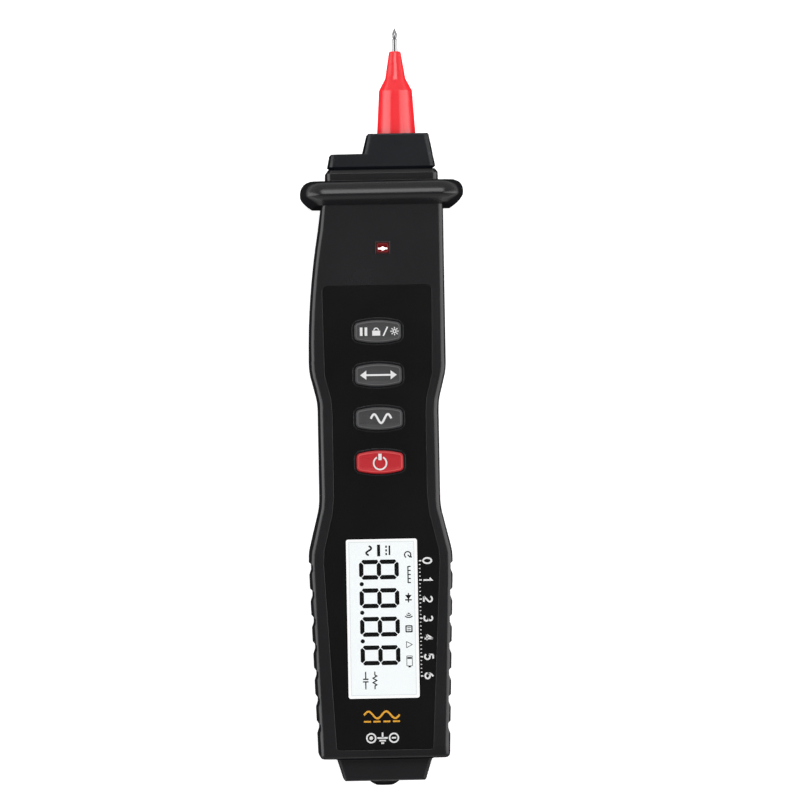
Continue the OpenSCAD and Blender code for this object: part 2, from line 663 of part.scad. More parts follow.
// A part along x under the board on two leads that rise to it.
module axial(r, l) {
    rotate([0, 90, 0]) cylinder(r = r, h = l, center = true);
    rotate([0, 90, 0]) cylinder(r = lead_r, h = l + 6 * lead_r, center = true);
    for (s = [-1, 1]) translate([s * (l / 2 + 3 * lead_r), 0, -lead_r])
        cylinder(r = lead_r, h = r + slack + lead_r);
}
module input_resistors() color([0.35, 0.5, 0.65])
    for (i = [0 : resistor_count - 1])
        translate([0, resistor_y + i * resistor_pitch, parting_z - resistor_r - slack])
            axial(resistor_r, resistor_l);

thermistor_r = 4;
thermistor_t = 2.6;
thermistor_y = resistor_y + resistor_count * resistor_pitch + thermistor_r;
module input_thermistor() color([0.75, 0.6, 0.2]) translate([0, thermistor_y, parting_z]) {
    z = -thermistor_r - 4 * slack;
    translate([0, -thermistor_t / 2, z]) along_y() cylinder(r = thermistor_r, h = thermistor_t);
    for (s = [-1, 1]) translate([s * thermistor_r / 2, 0, z]) cylinder(r = lead_r, h = -z);
}

crystal_w = 4.2;
crystal_l = 10.5;
crystal_t = 3.4;
crystal_r = 1.9;
module crystal() color([0.75, 0.75, 0.78])
    translate([chip_half + chip_leg_l + 2 * crystal_w / 3 + slack, chip_y, 0])
        prism(rounded(crystal_w, crystal_l, crystal_r, 0), parting_z - crystal_t, parting_z);

capacitor_r = 2.5;
capacitor_h = 6.5;
module capacitors() color([0.1, 0.12, 0.25])
    for (s = [-1, 1]) translate([-chip_half - chip_leg_l - capacitor_r - slack,
                                 chip_y + s * (capacitor_r + slack), parting_z - capacitor_h])
        cylinder(r = capacitor_r, h = capacitor_h);

buzzer_r = 6.5;
buzzer_h = 4.6;
buzzer_hole_r = 1;
buzzer_y = (y_waist + y_waist_top) / 2;
module buzzer() color([0.06, 0.06, 0.06]) translate([0, buzzer_y, 0]) {
    difference() {
        translate([0, 0, parting_z - buzzer_h]) cylinder(r = buzzer_r, h = buzzer_h);
        translate([0, 0, parting_z - buzzer_h - over]) cylinder(r = buzzer_hole_r, h = buzzer_h / 2);
    }
}

led_r = 1.5;
led_base_t = 1;
led_top = front_in_z - snug - lens_flange - slack;
module indicator_led() color([0.8, 0.1, 0.1]) translate([indicator_x, indicator_y, 0]) {
    translate([0, 0, board_top]) cylinder(r = led_r + slack, h = led_base_t);
    translate([0, 0, board_top + led_base_t])
        cylinder(r = led_r, h = led_top - led_r - board_top - led_base_t);
    translate([0, 0, led_top - led_r]) intersection() {
        sphere(r = led_r);
        cylinder(r = 2 * led_r, h = 2 * led_r);
    }
}

transistor_r = 2.3;
transistor_h = 4.6;
transistor_drop = 16.25; // from the buzzer's centre down to the transistor
transistor_y = buzzer_y - transistor_drop;
module backlight_transistor() color([0.07, 0.07, 0.07])
    translate([waist_half / 3, transistor_y, parting_z - transistor_h - slack]) {
        difference() {
            cylinder(r = transistor_r, h = transistor_h);
            block(-transistor_r - over, transistor_r + over, transistor_r / 2, transistor_r + over,
                  -over, transistor_h + over);
        }
        for (s = [-1, 0, 1]) translate([s * transistor_r / 2, 0, transistor_h - over])
            cylinder(r = lead_r, h = slack + over);
    }

// Ribs that hold up the board: over the battery bay and midway between the pieces under the board.
rib_ys = concat([for (s = bay_rib_shares) bay_y0 + s * bay_length],
    [(transistor_y + transistor_r + buzzer_y - buzzer_r) / 2,
     (buzzer_y + buzzer_r + chip_y - chip_half - chip_leg_l) / 2,
     (chip_y + chip_half + chip_leg_l + resistor_y - resistor_r) / 2]);

antenna_w = 5;
antenna_t = 0.4;
antenna_clear = 0.6;
antenna_x = head_shift - spigot_half + spigot_wall + antenna_clear + antenna_w / 2;
module ncv_antenna() color([0.85, 0.7, 0.35]) translate([antenna_x, 0, 0]) {
    y1 = y_nose + spigot_length - slack;
    block(-antenna_w / 2, antenna_w / 2, board_y1 - antenna_w, y1, board_top, board_top + antenna_t);
    block(-antenna_w / 2, antenna_w / 2, y1 - antenna_t, y1,
          parting_z - spigot_depth_half + 2 * spigot_wall, board_top);
}

y_flange = y_nose_top - nose_wall - sleeve_flange_t;
y_sleeve = y_flange - sleeve_tail;
y_shank_top = y_sleeve_top - needle_guide_l;
y_waist_sleeve = y_nose_top + sleeve_waist_share * sleeve_length;
y_neck_sleeve = y_nose_top + sleeve_neck_share * sleeve_length;
sleeve_round = 0.3;
module probe_sleeve() color([0.9, 0.15, 0.2])
    translate([probe_x, 0, parting_z]) rotate([90, 0, 0]) mirror([0, 0, 1]) rotate_extrude() polygon([
        [needle_shank_r + snug, y_sleeve], [sleeve_tail_r, y_sleeve], [sleeve_tail_r, y_flange],
        [sleeve_flange_r, y_flange], [sleeve_flange_r, y_flange + sleeve_flange_t],
        [sleeve_r, y_flange + sleeve_flange_t], [sleeve_r, y_nose_top],
        [sleeve_waist_r, y_waist_sleeve], [sleeve_neck_r, y_neck_sleeve],
        [sleeve_tip_r, y_sleeve_top - sleeve_round], [sleeve_tip_r - sleeve_round, y_sleeve_top],
        [needle_guide_r + snug, y_sleeve_top], [needle_guide_r + snug, y_shank_top],
        [needle_shank_r + snug, y_shank_top]]);

needle_stop_t = 1.2;
needle_tail = 8;
needle_neck_r_share = 0.6;
needle_shares = [0.49, 0.55, 0.62, 0.72];
module probe_needle() color([0.85, 0.86, 0.88])
    translate([probe_x, 0, parting_z]) rotate([90, 0, 0]) mirror([0, 0, 1]) rotate_extrude() polygon([
        [0, y_sleeve - needle_tail], [needle_shank_r, y_sleeve - needle_tail],
        [needle_shank_r, y_sleeve - needle_stop_t], [needle_stop_r, y_sleeve - needle_stop_t],
        [needle_stop_r, y_sleeve], [needle_shank_r, y_sleeve], [needle_shank_r, y_shank_top - fit],
        [needle_guide_r, y_shank_top - fit], [needle_guide_r, y_sleeve_top - needle_guide_sink],
        [needle_r, y_sleeve_top - needle_guide_sink],
        [needle_r, y_sleeve_top + needle_shares[0] * needle_reach],
        [needle_neck_r_share * needle_r, y_sleeve_top + needle_shares[1] * needle_reach],
        [needle_r, y_sleeve_top + needle_shares[2] * needle_reach],
        [needle_r, y_sleeve_top + needle_shares[3] * needle_reach], [0, y_tip]]);

terminal_r = 2;
terminal_l = 6;
terminal_tab_half = 1.1;
terminal_tab_t = 0.4;
module probe_terminal() color([0.8, 0.65, 0.3]) translate([probe_x, 0, 0]) difference() {
    y1 = y_sleeve - needle_stop_t - slack;
    union() {
        translate([0, y1 - terminal_l, parting_z]) along_y() cylinder(r = terminal_r, h = terminal_l);
        block(-terminal_tab_half, terminal_tab_half, board_y1 - 2 * terminal_r, y1 - terminal_l / 2,
              board_top, board_top + terminal_tab_t);
    }
    translate([0, y1 - terminal_l - over, parting_z]) along_y()
        cylinder(r = needle_shank_r + snug, h = terminal_l + 2 * over);
}

socket_wall = 0.75;
socket_r = socket_bore_r + socket_wall;
socket_sink = 0.6;
socket_end_t = 0.8;
socket_tab_half = 1.2;
socket_tab_t = 0.5;
mouth_r = socket_bore_r + 2 * snug;
rim_dome_r = 6.2;
rim_steps = 5;
function rim_dome(r) = rim_dome_r - sqrt(pow(rim_dome_r, 2) - pow(r, 2));
module socket_collar() color([0.13, 0.13, 0.14])
    translate([0, 0, parting_z]) rotate([90, 0, 0]) mirror([0, 0, 1]) rotate_extrude() polygon(concat(
        [for (i = [0 : rim_steps]) let (r = mouth_r + i * (socket_collar_r - mouth_r) / rim_steps)
            [r, rim_dome(r) - rim_dome(mouth_r)]],
        [[socket_collar_r, y_shoulder + wall], [collar_flange_r, y_shoulder + wall],
         [collar_flange_r, y_shoulder + wall + collar_flange_t],
         [socket_r + snug, y_shoulder + wall + collar_flange_t],
         [socket_r + snug, socket_sink - snug], [mouth_r, socket_sink - snug]]));
module com_socket() color([0.85, 0.7, 0.35]) {
    end = socket_sink + socket_depth + socket_end_t;
    translate([0, socket_sink, parting_z]) along_y() difference() {
        cylinder(r = socket_r, h = socket_depth + socket_end_t);
        translate([0, 0, -over]) cylinder(r = socket_bore_r, h = socket_depth + over);
    }
    block(-socket_tab_half, socket_tab_half, end - socket_end_t, board_y0 + 2 * socket_r,
          parting_z - socket_tab_t, parting_z);
}

cell_button_r = 1.9;
cell_button_t = 0.8;
module cell() {
    cylinder(r = cell_r, h = cell_length - cell_button_t);
    cylinder(r = cell_button_r, h = cell_length);
}
module left_cell() color([0.2, 0.45, 0.3])
    translate([-cell_x, bay_y1 - contact_t - cell_length, cell_z]) along_y() cell();
module right_cell() color([0.2, 0.45, 0.3])
    translate([cell_x, bay_y0 + contact_t + cell_length, cell_z]) rotate([90, 0, 0]) cell();

contact_half = cell_r - 1;
module tail_contact() color([0.8, 0.8, 0.82])
    block(-cell_x - contact_half, cell_x + contact_half, bay_y0, bay_y0 + contact_t,
          cell_z - contact_half + slack, cell_z + contact_half);
module top_contact(x) color([0.8, 0.8, 0.82]) translate([x, 0, 0]) {
    block(-contact_half, contact_half, bay_y1 - contact_t, bay_y1,
          cell_z - contact_half, cell_z + contact_half);
    block(-tab_half, tab_half, bay_y1 - contact_t, bay_y1, cell_z, parting_z);
}
module left_top_contact() top_contact(-cell_x);
module right_top_contact() top_contact(cell_x);

spring_turns = 3;
spring_wire_r = 0.3;
spring_r = 3.3;
spring_tip_r = 2.2;
spring_rings = 16;
module cell_spring() color([0.8, 0.8, 0.82]) {
    n = spring_turns * spring_rings;
    rise = spring_room - 2 * spring_wire_r;
    loft([for (i = [0 : n])
        let (t = i / n, a = 360 * spring_turns * t, r = spring_r + (spring_tip_r - spring_r) * t)
        [for (p = [0 : 60 : 300]) let (d = r + spring_wire_r * cos(p))
            [d * cos(a), spring_wire_r + rise * t - spring_wire_r * sin(p), d * sin(a)]]]);
}
module left_cell_spring() translate([-cell_x, bay_y0 + contact_t, cell_z]) cell_spring();
module right_cell_spring() translate([cell_x, bay_y1 - contact_t, cell_z]) rotate([0, 0, 180]) cell_spring();

slot_w = 0.6;
slot_depth = 0.8;
slot_share = 0.62;     // of the head's radius
module screw(r_head, t_head, r, l) difference() {
    union() {
        cylinder(r = r_head, h = t_head);
        translate([0, 0, t_head - snug]) cylinder(r = r, h = l + snug);
    }
    for (q = [0, 90]) rotate([0, 0, q])
        block(-slot_share * r_head, slot_share * r_head, -slot_w / 2, slot_w / 2, -over, slot_depth);
}
module case_screws() color([0.5, 0.5, 0.52])
    at_bosses() translate([0, 0, screw_seat_z - screw_head_t])
        screw(screw_head_r, screw_head_t, screw_r, parting_z + screw_bite - screw_seat_z - snug);
module cover_screw() color([0.5, 0.5, 0.52])
    translate([0, y_shoulder + snug, cover_screw_z]) along_y()
        screw(screw_head_r, cover_screw_head_t, screw_r,
              bay_y0 - cover_screw_end - fit - y_shoulder - snug - cover_screw_head_t);

cover_ridges = 5;
cover_ridge_pitch = 2.2;
cover_ridge_w = 1;
cover_ridge_depth = 0.4;
cover_ridge_half = 8;
// Runs an outline of y and z points across the meter.
module across(outline, half) {
    translate([-half, 0, 0]) rotate([90, 0, 90]) linear_extrude(2 * half) polygon(outline);
}
module battery_cover() color([0.15, 0.15, 0.16]) difference() {
    r = shoulder_edge;
    y0 = y_shoulder + snug;
    nib = [for (a = [180 : 30 : 270]) [y0 + r + r * cos(a), cover_sink + r + r * sin(a)]];
    union() {
        across(concat(nib, [[cover_end, cover_sink], [cover_end, cover_thickness], [y0, cover_thickness]]),
               cover_half);
        across(concat(nib, [[y0 + lip_t, cover_sink], [y0 + lip_t, lip_top], [y0, lip_top]]), lip_half);
        block(-cover_half - rail_depth, cover_half + rail_depth, y0 + lip_t, cover_end,
              recess_z - rail_t, cover_thickness);
    }
    translate([0, y0 - over, cover_screw_z]) along_y() {
        cylinder(r = screw_hole_r, h = lip_t + 2 * over);
        cylinder(r = screw_head_r + fit, h = cover_screw_head_t + over);
    }
    for (i = [0 : cover_ridges - 1])
        block(-cover_ridge_half, cover_ridge_half, y0 + 3 * lip_t + i * cover_ridge_pitch,
              y0 + 3 * lip_t + i * cover_ridge_pitch + cover_ridge_w, -over, cover_sink + cover_ridge_depth);
}

// Keys: a cap through the shell, a flange behind it and a stem on its switch.
flange_grow = 0.7;
flange_t = 0.8;
switch_half = 3;
switch_h = 3.5;
plunger_r = 1.7;
plunger_sink = 1;
plunger_rise = 1.4;
stem_half = 1.6;
cap_edge = 0.45;
cap_dish = 0.12;
// Rings of a cap's top: shares of cap_edge inwards and down, and of cap_dish.
cap_shares = [[0, 1, 0], [0.3, 0.3, 0], [1, 0, 0], [1.8, 0, 0], [3, 0, 1]];
function level(g, z) = let (o = key_outline(g)) [for (i = [len(o) - 1 : -1 : 0]) [o[i][0], o[i][1], z]];
module key(i) translate([0, key_y(i), 0]) {
    top = body_depth + key_stand;
    z0 = front_in_z - fit - flange_t;
    loft(concat([level(0, z0)],
                [for (c = cap_shares) level(-c[0] * cap_edge, top - c[1] * cap_edge - c[2] * cap_dish)]));
    prism(key_outline(flange_grow), z0, z0 + flange_t);
    block(-stem_half, stem_half, -stem_half, stem_half, board_top + switch_h + plunger_rise, z0);
}
module hold_button() color([0.3, 0.3, 0.31]) key(0);
module select_button() color([0.3, 0.3, 0.31]) key(1);
module hertz_button() color([0.3, 0.3, 0.31]) key(2);
module power_button() color([0.75, 0.15, 0.2]) key(3);

module key_switch(i) color([0.2, 0.2, 0.2]) translate([0, key_y(i), board_top]) difference() {
    block(-switch_half, switch_half, -switch_half, switch_half, 0, switch_h);
    translate([0, 0, switch_h - plunger_sink - key_travel - fit])
        cylinder(r = plunger_r + fit, h = plunger_sink + key_travel + over);
}
module key_plunger(i) color([0.85, 0.85, 0.8])
    translate([0, key_y(i), board_top + switch_h - plunger_sink])
        cylinder(r = plunger_r, h = plunger_sink + plunger_rise);
module hold_switch() key_switch(0);
module select_switch() key_switch(1);
module hertz_switch() key_switch(2);
module power_switch() key_switch(3);
module hold_plunger() key_plunger(0);
module select_plunger() key_plunger(1);
module hertz_plunger() key_plunger(2);
module power_plunger() key_plunger(3);

placed() front_shell();
placed() rear_shell();
placed() nose_cap();
placed() face_panel();
placed() display_window();
placed() indicator_lens();
placed() lcd_glass();
placed() lcd_backlight();
placed() lcd_frame();
placed() zebra_strips();
placed() main_board();
placed() meter_chip();
placed() input_resistors();
placed() input_thermistor();
placed() crystal();
placed() capacitors();
placed() buzzer();
placed() indicator_led();
placed() backlight_transistor();
placed() ncv_antenna();
placed() probe_sleeve();
placed() probe_needle();
placed() probe_terminal();
placed() socket_collar();
placed() com_socket();
placed() left_cell();
placed() right_cell();
placed() tail_contact();
placed() left_top_contact();
placed() right_top_contact();
placed() left_cell_spring();
placed() right_cell_spring();
placed() case_screws();
placed() cover_screw();
placed() battery_cover();
placed() hold_button();
placed() select_button();
placed() hertz_button();
placed() power_button();
placed() hold_switch();
placed() select_switch();
placed() hertz_switch();
placed() power_switch();
placed() hold_plunger();
placed() select_plunger();
placed() hertz_plunger();
placed() power_plunger();
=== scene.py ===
"""Studio scene for the pen multimeter: finishes, display, key marks, lights and camera."""
import json
import math

import bpy
import bmesh
from mathutils import Matrix, Vector

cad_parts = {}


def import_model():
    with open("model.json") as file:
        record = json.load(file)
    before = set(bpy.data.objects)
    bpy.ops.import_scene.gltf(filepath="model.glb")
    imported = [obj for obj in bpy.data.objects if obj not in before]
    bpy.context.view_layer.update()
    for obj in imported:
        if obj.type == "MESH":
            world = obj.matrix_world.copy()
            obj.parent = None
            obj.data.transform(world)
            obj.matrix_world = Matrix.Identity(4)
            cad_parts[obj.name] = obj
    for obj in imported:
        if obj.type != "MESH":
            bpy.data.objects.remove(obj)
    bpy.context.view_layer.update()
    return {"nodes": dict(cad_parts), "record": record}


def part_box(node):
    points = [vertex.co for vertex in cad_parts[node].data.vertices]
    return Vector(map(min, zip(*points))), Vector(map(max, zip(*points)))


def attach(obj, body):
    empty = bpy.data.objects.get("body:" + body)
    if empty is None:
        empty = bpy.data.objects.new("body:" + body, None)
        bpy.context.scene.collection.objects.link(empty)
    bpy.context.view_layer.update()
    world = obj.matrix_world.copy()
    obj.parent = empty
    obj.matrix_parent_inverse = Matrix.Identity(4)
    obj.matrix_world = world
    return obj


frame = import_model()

NODES = frame["nodes"]
SLOT_OF = {part["node"]: part["material_slot"] for part in frame["record"]["subparts"]}
MM = 0.001

# Places in the frame, in millimetres: the display's middle and the faces seen from above.
WINDOW_LOW, WINDOW_HIGH = (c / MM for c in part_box("display_window"))
AXIS_X = (WINDOW_LOW.x + WINDOW_HIGH.x) / 2
WINDOW_Y = (WINDOW_LOW.y + WINDOW_HIGH.y) / 2
PANEL_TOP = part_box("face_panel")[1].z / MM
GLASS_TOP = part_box("lcd_glass")[1].z / MM
KEY_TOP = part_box("hold_button")[1].z / MM

# Sizes of the CAD part that the frame doesn't tell, in millimetres.
KEY_FLANGE = 0.7           # what the key's hidden flange has beyond its cap
KEY_CORNER = 1.3           # the cap's corner radius
KEY_BULGE = 0.6            # how far the cap's long sides bow out
WINDOW_LAP = 1.2           # how far the window reaches past the panel's opening
WINDOW_CORNER = 0.8        # that opening's corner radius
LENS_FLANGE = 0.6          # what the indicator's hidden flange has beyond its lens
RIM_ABOVE_LENS = 0.125     # the top of the shell's raised rim over the top of the lens

# Printed marks, in millimetres: how far they stand out of their face and reach into it.
PRINT_THICKNESS = 0.03
PRINT_SINK = 0.02


# Materials

CLOUD_SCALE = 45.0         # noise per metre of a surface's slow change in colour and polish
GLOW_SCALE = 30.0          # the same for lit surfaces
GLOW_SHADE = 0.97          # the dimmest spots of a lit surface
PANE_SCALE = 60.0          # waviness of clear sheet
BUMP_DEPTH = 0.1           # millimetres
PANE_DEPTH = 0.05
RIM_FADE = (0.25, 0.46)    # facing values over which a soft rim loses its gloss


def new_material(name):
    mat = bpy.data.materials.new(name)
    mat.use_nodes = True
    nodes = mat.node_tree.nodes
    return mat, nodes, mat.node_tree.links, nodes["Principled BSDF"]


def add_node(nodes, kind, **values):
    node = nodes.new(kind)
    for key, value in values.items():
        if key in node.inputs:
            node.inputs[key].default_value = value
        else:
            setattr(node, key, value)
    return node


def noise(nodes, links, scale, detail, **values):
    """Noise that is fixed to the object."""
    place = add_node(nodes, "ShaderNodeTexCoord")
    cloud = add_node(nodes, "ShaderNodeTexNoise", Scale=scale, Detail=detail, **values)
    links.new(place.outputs["Object"], cloud.inputs["Vector"])
    return cloud.outputs["Fac"]


def fade_gloss(nodes, links, shader, specular):
    """Takes the gloss away where the surface turns from the view."""
    facing = add_node(nodes, "ShaderNodeLayerWeight", Blend=0.5)
    gloss = add_node(nodes, "ShaderNodeMapRange", interpolation_type="SMOOTHSTEP")
    gloss.inputs["From Min"].default_value, gloss.inputs["From Max"].default_value = RIM_FADE
    gloss.inputs["To Min"].default_value = specular
    gloss.inputs["To Max"].default_value = 0.0
    links.new(facing.outputs["Facing"], gloss.inputs["Value"])
    links.new(gloss.outputs["Result"], shader.inputs["Specular IOR Level"])


def grained(name, colour, roughness, grain=0.05, grain_size=0.35, variation=0.12, rough_spread=0.06,
            specular=0.5, metallic=0.0, edge=0.15, soft_rim=False, edge_tint=None):
    """Moulded plastic or metal: a colour that wanders a little, fine grain and softened edges.

    A soft rim loses its gloss where the surface turns away; an edge tint is a metal's grazing colour.
    """
    mat, nodes, links, shader = new_material(name)
    shader.inputs["Specular IOR Level"].default_value = specular
    shader.inputs["Metallic"].default_value = metallic
    if edge_tint:
        shader.inputs["Specular Tint"].default_value = (*edge_tint, 1)
    if soft_rim:
        fade_gloss(nodes, links, shader, specular)
    cloud = noise(nodes, links, CLOUD_SCALE, 4.0, Roughness=0.6)
    tint = add_node(nodes, "ShaderNodeValToRGB")
    dark, light = tint.color_ramp.elements
    dark.position, light.position = 0.3, 0.7
    dark.color = (*[c * (1 - variation) for c in colour], 1)
    light.color = (*[min(1.0, c * (1 + variation)) for c in colour], 1)
    links.new(cloud, tint.inputs["Fac"])
    links.new(tint.outputs["Color"], shader.inputs["Base Color"])
    polish = add_node(nodes, "ShaderNodeMapRange")
    polish.inputs["To Min"].default_value = max(0.0, roughness - rough_spread)
    polish.inputs["To Max"].default_value = roughness + rough_spread
    links.new(cloud, polish.inputs["Value"])
    links.new(polish.outputs["Result"], shader.inputs["Roughness"])
    fine = noise(nodes, links, 1 / (grain_size * MM), 2.0)
    bump = add_node(nodes, "ShaderNodeBump", Strength=grain, Distance=BUMP_DEPTH * MM)
    links.new(fine, bump.inputs["Height"])
    if edge:
        rounding = add_node(nodes, "ShaderNodeBevel", samples=6, Radius=edge * MM)
        links.new(rounding.outputs["Normal"], bump.inputs["Normal"])
    links.new(bump.outputs["Normal"], shader.inputs["Normal"])
    return mat


def glowing(name, colour, strength, base):
    """A lit surface; base is the colour of what lies under the light."""
    mat, nodes, links, shader = new_material(name)
    glow = add_node(nodes, "ShaderNodeValToRGB")
    glow.color_ramp.elements[0].color = (*[c * GLOW_SHADE for c in colour], 1)
    glow.color_ramp.elements[1].color = (*colour, 1)
    links.new(noise(nodes, links, GLOW_SCALE, 1.0), glow.inputs["Fac"])
    links.new(glow.outputs["Color"], shader.inputs["Emission Color"])
    shader.inputs["Emission Strength"].default_value = strength
    shader.inputs["Base Color"].default_value = (*base, 1)
    shader.inputs["Roughness"].default_value = 0.4
    return mat


def clear_pane(name):
    mat, nodes, links, shader = new_material(name)
    shader.inputs["Base Color"].default_value = (1, 1, 1, 1)
    shader.inputs["Roughness"].default_value = 0.02
    shader.inputs["Transmission Weight"].default_value = 1.0
    shader.inputs["IOR"].default_value = 1.45
    bump = add_node(nodes, "ShaderNodeBump", Strength=0.01, Distance=PANE_DEPTH * MM)
    links.new(noise(nodes, links, PANE_SCALE, 1.0), bump.inputs["Height"])
    links.new(bump.outputs["Normal"], shader.inputs["Normal"])
    return mat


def shell_plastic(name, colour):
    return grained(name, colour, 0.24, grain=0.07, edge=0.2, rough_spread=0.03, soft_rim=True)


def printed(name, colour, **values):
    return grained(name, colour, 0.5, edge=0, **values)


UNLIT = (0.05, 0.05, 0.05)
FINISH = {
    "shell": shell_plastic("shell_plastic", (0.0122, 0.0122, 0.0135)),
    "panel": grained("panel_film", (0.0056, 0.0056, 0.0056), 0.25, specular=0.25, edge=0.1,
                     soft_rim=True),
    "window": clear_pane("window_acrylic"),
    "indicator_red": grained("indicator_acrylic", (0.13, 0.003, 0.004), 0.15, grain=0.01, edge=0.2),
    "lcd": glowing("lcd_backlit", (0.92, 0.965, 0.975), 1.035, UNLIT),
    "white_plastic": grained("white_plastic", (0.75, 0.75, 0.72), 0.45, variation=0.04),
    "black_plastic": grained("black_plastic", (0.012, 0.012, 0.012), 0.45),
    "elastomer": grained("pink_elastomer", (0.55, 0.25, 0.22), 0.6, grain=0.2),
    "board": grained("board_laminate", (0.012, 0.09, 0.035), 0.35, grain_size=0.8),
    "resistor": grained("resistor_body", (0.12, 0.3, 0.42), 0.4),
    "thermistor": grained("thermistor_body", (0.45, 0.3, 0.05), 0.45),
    "steel": grained("bright_steel", (0.6, 0.6, 0.62), 0.28, metallic=1.0, variation=0.08, grain=0.04,
                     edge=0.05),
    "capacitor": grained("capacitor_sleeve", (0.012, 0.02, 0.08), 0.35),
    "brass": grained("brass", (0.65, 0.47, 0.2), 0.3, metallic=1.0),
    "red_sleeve": grained("sleeve_plastic", (0.95, 0.03, 0.04), 0.2, grain=0.02, variation=0.04,
                          rough_spread=0.03, specular=0.7, edge=0.06, soft_rim=True),
    "cell_wrap": grained("cell_wrap", (0.03, 0.16, 0.07), 0.3),
    "nickel": grained("nickel_plate", (0.62, 0.6, 0.56), 0.25, metallic=1.0),
    "key_grey": grained("key_rubber_grey", (0.05, 0.05, 0.052), 0.5, grain=0.15, specular=0.4),
    "key_red": grained("key_rubber_red", (0.56, 0.018, 0.026), 0.45, grain=0.15, specular=0.4),
}
# Nodes whose finish differs from the rest of their slot; the nose cap's darker, bluer plastic is
# painted shade and a painted reflection.
OWN_FINISH = {
    # The shell's plastic painted darker and bluer: painted shade and a painted bluish reflection.
    "nose_cap": shell_plastic("nose_plastic_painted_shade", (0.0062, 0.0078, 0.0102)),
    "probe_needle": grained("needle_steel", (0.36, 0.36, 0.37), 0.22, metallic=1.0, variation=0.05,
                            grain=0.02, edge=0, edge_tint=(0.0, 0.0, 0.0)),
}
# Painted highlights: lighter lines drawn just inside the key caps' outlines, for light on their rounded
# rims.
GREY_KEY_HIGHLIGHT = grained("key_painted_highlight_grey", (0.115, 0.115, 0.118), 0.45, specular=0.4, edge=0)
RED_KEY_HIGHLIGHT = grained("key_painted_highlight_red", (0.72, 0.09, 0.09), 0.45, specular=0.4, edge=0)
# A dark red line painted on the shell's rim round the lens: painted shade at the lens's edge.
LENS_RIM_SHADE = grained("lens_rim_painted_shade", (0.045, 0.002, 0.003), 0.3, grain=0.01, edge=0)
# A lighter red line painted just inside the lens's edge: a painted highlight.
LENS_HIGHLIGHT = grained("lens_edge_painted_highlight", (0.26, 0.02, 0.025), 0.3, grain=0.01, edge=0)
# A black painted shadow line round the window's opening, for the shade of the panel's edge over the
# recessed window.
SHADOW_LINE_BLACK = printed("painted_shadow_black", (0.001, 0.001, 0.001), grain=0.02, specular=0.1)
PRINT_WHITE = printed("print_white", (0.8, 0.8, 0.8), grain=0.03, variation=0.03)
PRINT_AMBER = printed("print_amber", (0.78, 0.37, 0.022), grain=0.03, variation=0.03)
LCD_INK = grained("lcd_ink", (0.002, 0.003, 0.003), 0.6, grain=0.02, specular=0.02, edge=0)
LCD_FAINT = glowing("lcd_frame_line", (0.78, 0.82, 0.83), 1.0, UNLIT)
LCD_EDGE = glowing("lcd_edge_light", (1.0, 1.0, 1.0), 1.05, UNLIT)
LED_CORE = glowing("led_core", (1.0, 0.93, 0.93), 1.0, (1.0, 0.93, 0.93))


# CAD nodes: material by slot, and smooth shading over their curves

SMOOTH_LIMIT = math.radians(32)
CRISP_LIMIT = math.radians(20)     # for the sleeve, which has shallow steps
WELD_DISTANCE = 1e-6       # metres


def smoothing_group(name, limit):
    """Geometry nodes that weld the tessellated faces and smooth every edge under the limit."""
    group = bpy.data.node_groups.new(name, "GeometryNodeTree")
    group.interface.new_socket("Geometry", in_out="INPUT", socket_type="NodeSocketGeometry")
    group.interface.new_socket("Geometry", in_out="OUTPUT", socket_type="NodeSocketGeometry")
    nodes, links = group.nodes, group.links
    start = nodes.new("NodeGroupInput")
    end = nodes.new("NodeGroupOutput")
    bare = nodes.new("GeometryNodeRemoveAttribute")
    bare.inputs["Name"].default_value = "custom_normal"
    weld = nodes.new("GeometryNodeMergeByDistance")
    weld.inputs["Distance"].default_value = WELD_DISTANCE
    angle = nodes.new("GeometryNodeInputMeshEdgeAngle")
    sharp = nodes.new("FunctionNodeCompare")
    sharp.operation = "GREATER_THAN"
    sharp.inputs[1].default_value = limit
    faces = nodes.new("GeometryNodeSetShadeSmooth")
    edges = nodes.new("GeometryNodeSetShadeSmooth")
    edges.domain = "EDGE"
    edges.inputs["Shade Smooth"].default_value = False
    links.new(start.outputs[0], bare.inputs["Geometry"])
    links.new(bare.outputs[0], weld.inputs["Geometry"])
    links.new(weld.outputs[0], faces.inputs["Geometry"])
    links.new(faces.outputs[0], edges.inputs["Geometry"])
    links.new(angle.outputs["Unsigned Angle"], sharp.inputs[0])
    links.new(sharp.outputs[0], edges.inputs["Selection"])
    links.new(edges.outputs[0], end.inputs[0])
    return group


def finish_nodes():
    smooth_group = smoothing_group("smooth_faces", SMOOTH_LIMIT)
    crisp_group = smoothing_group("crisp_faces", CRISP_LIMIT)
    for name, obj in NODES.items():
        finish = OWN_FINISH.get(name, FINISH[SLOT_OF[name]])
        for place in obj.material_slots:
            place.material = finish
        smooth = obj.modifiers.new("smooth_faces", "NODES")
        smooth.node_group = crisp_group if name == "probe_sleeve" else smooth_group
        weights = obj.modifiers.new("weighted_normals", "WEIGHTED_NORMAL")
        weights.keep_sharp = True


finish_nodes()


# Flat marks, as thin closed prisms. Outlines are in millimetres about the mark's own centre.

def piece(name, outlines, centre, z0, z1, mat, body):
    """One object from several outlines, each extruded from z0 to z1."""
    mesh = bmesh.new()
    for outline in outlines:
        rings = []
        for z in (z0, z1):
            rings.append([mesh.verts.new(((centre[0] + x) * MM, (centre[1] + y) * MM, z * MM))
                          for x, y in outline])
        low, high = rings
        mesh.faces.new(list(reversed(low)))
        mesh.faces.new(high)
        count = len(outline)
        for i in range(count):
            j = (i + 1) % count
            mesh.faces.new((low[i], low[j], high[j], high[i]))
    data = bpy.data.meshes.new(name)
    mesh.to_mesh(data)
    mesh.free()
    data.materials.append(mat)
    obj = bpy.data.objects.new(name, data)
    bpy.context.scene.collection.objects.link(obj)
    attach(obj, body)


